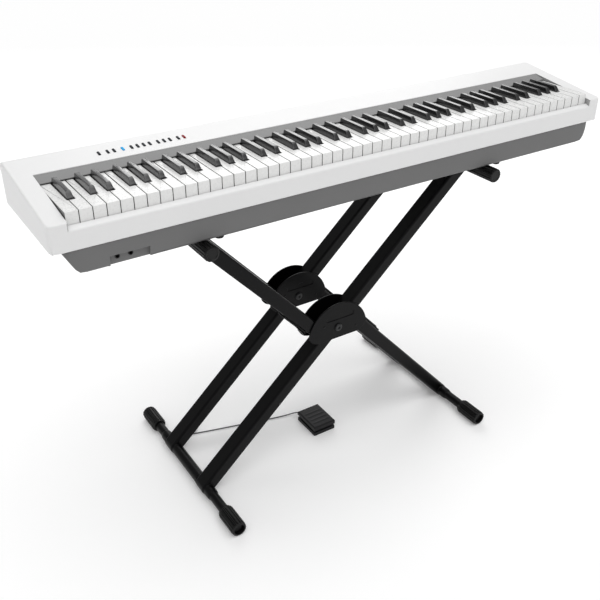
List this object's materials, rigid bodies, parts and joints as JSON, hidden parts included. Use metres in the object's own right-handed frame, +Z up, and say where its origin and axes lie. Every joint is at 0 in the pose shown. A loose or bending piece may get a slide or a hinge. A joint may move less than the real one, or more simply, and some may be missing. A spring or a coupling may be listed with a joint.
{
  "type": "digital piano on stand",
  "caption": "Portable digital piano with weighted keys and a sloping top, resting on a folding double-tube X stand, with a sustain pedal and its cord on the floor.",
  "frame": {"origin": "on the floor, midway along the piano's length and midway between the front and rear ends of the stand's foot bars", "axes": "+X along the keyboard from bass to treble, +Y from the player towards the back of the piano, +Z up"},
  "size_m": [1.294, 0.474, 0.7946],
  "materials": {
    "white_case": "satin moulded plastic",
    "grey_case": "fine grained moulded plastic",
    "ivory_key": "polished moulded plastic",
    "ebony_key": "matt moulded plastic",
    "black_steel": "satin black powder coat",
    "black_rubber": "ribbed moulded rubber",
    "zinc_steel": "zinc plated sheet",
    "circuit_green": "circuit board with soldered sockets",
    "button_black": "soft touch plastic",
    "button_cyan": "translucent plastic",
    "button_red": "translucent plastic",
    "cord_grey": "matt flexible sheath"
  },
  "bodies": {
    "fixed_frame": {"fixed_tube_front": "black_steel", "fixed_tube_rear": "black_steel", "foot_bar_left": "black_steel", "top_bar_right": "black_rubber", "pivot_bolt_front": "black_steel", "pivot_bolt_rear": "black_steel", "foot_cap_left_front": "black_rubber", "foot_cap_left_rear": "black_rubber"},
    "folding_frame": {"folding_arm_front": "black_steel", "folding_arm_rear": "black_steel", "folding_leg_front": "black_steel", "folding_leg_rear": "black_steel", "hinge_plate_front_outer": "black_steel", "hinge_plate_front_inner": "black_steel", "hinge_plate_rear_outer": "black_steel", "hinge_plate_rear_inner": "black_steel", "foot_bar_right": "black_steel", "top_bar_left": "black_rubber", "foot_cap_right_front": "black_rubber", "foot_cap_right_rear": "black_rubber"},
    "lock_lever": {"lock_lever": "black_steel"},
    "piano": {"upper_case": "white_case", "lower_case": "grey_case", "key_well_liner": "grey_case", "keybed": "zinc_steel", "main_board": "circuit_green", "speaker_left": "black_steel", "speaker_right": "black_steel", "white_keys_fixed": "ivory_key", "black_keys_fixed": "ebony_key"},
    "pedal": {"pedal_base": "black_rubber", "pedal_cord": "cord_grey", "pedal_coil": "cord_grey", "pedal_plug": "black_rubber"},
    "pedal_tread": {"pedal_tread": "black_rubber"},
    "panel_button_01": {"panel_button_01": "button_black"},
    "panel_button_02": {"panel_button_02": "button_black"},
    "panel_button_03": {"panel_button_03": "button_black"},
    "panel_button_04": {"panel_button_04": "button_cyan"},
    "panel_button_05": {"panel_button_05": "button_black"},
    "panel_button_06": {"panel_button_06": "button_black"},
    "panel_button_07": {"panel_button_07": "button_black"},
    "panel_button_08": {"panel_button_08": "button_black"},
    "panel_button_09": {"panel_button_09": "button_black"},
    "panel_button_10": {"panel_button_10": "button_black"},
    "panel_button_11": {"panel_button_11": "button_black"},
    "panel_button_12": {"panel_button_12": "button_black"},
    "panel_button_13": {"panel_button_13": "button_red"},
    "white_key_c4": {"white_key_c4": "ivory_key"},
    "black_key_c_sharp4": {"black_key_c_sharp4": "ebony_key"},
    "white_key_d4": {"white_key_d4": "ivory_key"},
    "black_key_d_sharp4": {"black_key_d_sharp4": "ebony_key"},
    "white_key_e4": {"white_key_e4": "ivory_key"},
    "white_key_f4": {"white_key_f4": "ivory_key"},
    "black_key_f_sharp4": {"black_key_f_sharp4": "ebony_key"},
    "white_key_g4": {"white_key_g4": "ivory_key"},
    "black_key_g_sharp4": {"black_key_g_sharp4": "ebony_key"},
    "white_key_a4": {"white_key_a4": "ivory_key"},
    "black_key_a_sharp4": {"black_key_a_sharp4": "ebony_key"},
    "white_key_b4": {"white_key_b4": "ivory_key"}
  },
  "joints": [
    {"name": "stand_fold", "type": "hinge", "parent": "fixed_frame", "child": "folding_frame", "pos_m": [-0.0303, 0.0075, 0.3336], "axis": [0, 1, 0], "range_deg": [0, 90]},
    {"name": "lock_lever_squeeze", "type": "hinge", "parent": "folding_frame", "child": "lock_lever", "pos_m": [-0.16567, -0.075, 0.39901], "axis": [0, 1, 0], "range_deg": [0, 15], "stiffness_Nm_per_rad": 1.5, "springref_deg": -6.88},
    {"name": "piano_lift", "type": "slide", "parent": "fixed_frame", "child": "piano", "axis": [0, 0, 1], "range_m": [0, 0.57]},
    {"name": "pedal_away", "type": "slide", "parent": "fixed_frame", "child": "pedal", "axis": [0, -1, 0], "range_m": [0, 0.475]},
    {"name": "pedal_press", "type": "hinge", "parent": "pedal", "child": "pedal_tread", "pos_m": [-0.0305, 0.022, 0.0155], "axis": [1, 0, 0], "range_deg": [0, 3.5], "stiffness_Nm_per_rad": 8, "springref_deg": -2.86},
    {"name": "panel_button_01_press", "type": "slide", "parent": "piano", "child": "panel_button_01", "axis": [0, 0.135, -0.9909], "range_m": [0, 0.0012], "stiffness_N_per_m": 400, "springref_m": -0.001},
    {"name": "panel_button_02_press", "type": "slide", "parent": "piano", "child": "panel_button_02", "axis": [0, 0.135, -0.9909], "range_m": [0, 0.0012], "stiffness_N_per_m": 400, "springref_m": -0.001},
    {"name": "panel_button_03_press", "type": "slide", "parent": "piano", "child": "panel_button_03", "axis": [0, 0.135, -0.9909], "range_m": [0, 0.0012], "stiffness_N_per_m": 400, "springref_m": -0.001},
    {"name": "panel_button_04_press", "type": "slide", "parent": "piano", "child": "panel_button_04", "axis": [0, 0.135, -0.9909], "range_m": [0, 0.0012], "stiffness_N_per_m": 400, "springref_m": -0.001},
    {"name": "panel_button_05_press", "type": "slide", "parent": "piano", "child": "panel_button_05", "axis": [0, 0.135, -0.9909], "range_m": [0, 0.0012], "stiffness_N_per_m": 400, "springref_m": -0.001},
    {"name": "panel_button_06_press", "type": "slide", "parent": "piano", "child": "panel_button_06", "axis": [0, 0.135, -0.9909], "range_m": [0, 0.0012], "stiffness_N_per_m": 400, "springref_m": -0.001},
    {"name": "panel_button_07_press", "type": "slide", "parent": "piano", "child": "panel_button_07", "axis": [0, 0.135, -0.9909], "range_m": [0, 0.0012], "stiffness_N_per_m": 400, "springref_m": -0.001},
    {"name": "panel_button_08_press", "type": "slide", "parent": "piano", "child": "panel_button_08", "axis": [0, 0.135, -0.9909], "range_m": [0, 0.0012], "stiffness_N_per_m": 400, "springref_m": -0.001},
    {"name": "panel_button_09_press", "type": "slide", "parent": "piano", "child": "panel_button_09", "axis": [0, 0.135, -0.9909], "range_m": [0, 0.0012], "stiffness_N_per_m": 400, "springref_m": -0.001},
    {"name": "panel_button_10_press", "type": "slide", "parent": "piano", "child": "panel_button_10", "axis": [0, 0.135, -0.9909], "range_m": [0, 0.0012], "stiffness_N_per_m": 400, "springref_m": -0.001},
    {"name": "panel_button_11_press", "type": "slide", "parent": "piano", "child": "panel_button_11", "axis": [0, 0.135, -0.9909], "range_m": [0, 0.0012], "stiffness_N_per_m": 400, "springref_m": -0.001},
    {"name": "panel_button_12_press", "type": "slide", "parent": "piano", "child": "panel_button_12", "axis": [0, 0.135, -0.9909], "range_m": [0, 0.0012], "stiffness_N_per_m": 400, "springref_m": -0.001},
    {"name": "panel_button_13_press", "type": "slide", "parent": "piano", "child": "panel_button_13", "axis": [0, 0.135, -0.9909], "range_m": [0, 0.0012], "stiffness_N_per_m": 400, "springref_m": -0.001},
    {"name": "white_key_c4_press", "type": "hinge", "parent": "piano", "child": "white_key_c4", "pos_m": [0, 0.078, 0.765], "axis": [1, 0, 0], "range_deg": [0, 2.5], "stiffness_Nm_per_rad": 2, "springref_deg": -5.73},
    {"name": "black_key_c_sharp4_press", "type": "hinge", "parent": "piano", "child": "black_key_c_sharp4", "pos_m": [0, 0.078, 0.765], "axis": [1, 0, 0], "range_deg": [0, 2.5], "stiffness_Nm_per_rad": 2, "springref_deg": -5.73},
    {"name": "white_key_d4_press", "type": "hinge", "parent": "piano", "child": "white_key_d4", "pos_m": [0, 0.078, 0.765], "axis": [1, 0, 0], "range_deg": [0, 2.5], "stiffness_Nm_per_rad": 2, "springref_deg": -5.73},
    {"name": "black_key_d_sharp4_press", "type": "hinge", "parent": "piano", "child": "black_key_d_sharp4", "pos_m": [0, 0.078, 0.765], "axis": [1, 0, 0], "range_deg": [0, 2.5], "stiffness_Nm_per_rad": 2, "springref_deg": -5.73},
    {"name": "white_key_e4_press", "type": "hinge", "parent": "piano", "child": "white_key_e4", "pos_m": [0, 0.078, 0.765], "axis": [1, 0, 0], "range_deg": [0, 2.5], "stiffness_Nm_per_rad": 2, "springref_deg": -5.73},
    {"name": "white_key_f4_press", "type": "hinge", "parent": "piano", "child": "white_key_f4", "pos_m": [0, 0.078, 0.765], "axis": [1, 0, 0], "range_deg": [0, 2.5], "stiffness_Nm_per_rad": 2, "springref_deg": -5.73},
    {"name": "black_key_f_sharp4_press", "type": "hinge", "parent": "piano", "child": "black_key_f_sharp4", "pos_m": [0, 0.078, 0.765], "axis": [1, 0, 0], "range_deg": [0, 2.5], "stiffness_Nm_per_rad": 2, "springref_deg": -5.73},
    {"name": "white_key_g4_press", "type": "hinge", "parent": "piano", "child": "white_key_g4", "pos_m": [0, 0.078, 0.765], "axis": [1, 0, 0], "range_deg": [0, 2.5], "stiffness_Nm_per_rad": 2, "springref_deg": -5.73},
    {"name": "black_key_g_sharp4_press", "type": "hinge", "parent": "piano", "child": "black_key_g_sharp4", "pos_m": [0, 0.078, 0.765], "axis": [1, 0, 0], "range_deg": [0, 2.5], "stiffness_Nm_per_rad": 2, "springref_deg": -5.73},
    {"name": "white_key_a4_press", "type": "hinge", "parent": "piano", "child": "white_key_a4", "pos_m": [0, 0.078, 0.765], "axis": [1, 0, 0], "range_deg": [0, 2.5], "stiffness_Nm_per_rad": 2, "springref_deg": -5.73},
    {"name": "black_key_a_sharp4_press", "type": "hinge", "parent": "piano", "child": "black_key_a_sharp4", "pos_m": [0, 0.078, 0.765], "axis": [1, 0, 0], "range_deg": [0, 2.5], "stiffness_Nm_per_rad": 2, "springref_deg": -5.73},
    {"name": "white_key_b4_press", "type": "hinge", "parent": "piano", "child": "white_key_b4", "pos_m": [0, 0.078, 0.765], "axis": [1, 0, 0], "range_deg": [0, 2.5], "stiffness_Nm_per_rad": 2, "springref_deg": -5.73}
  ],
  "couplings": [
    {"joint": "piano_lift", "follows": "stand_fold", "m_per_rad": 0.36},
    {"joint": "pedal_away", "follows": "stand_fold", "m_per_rad": 0.3}
  ]
}
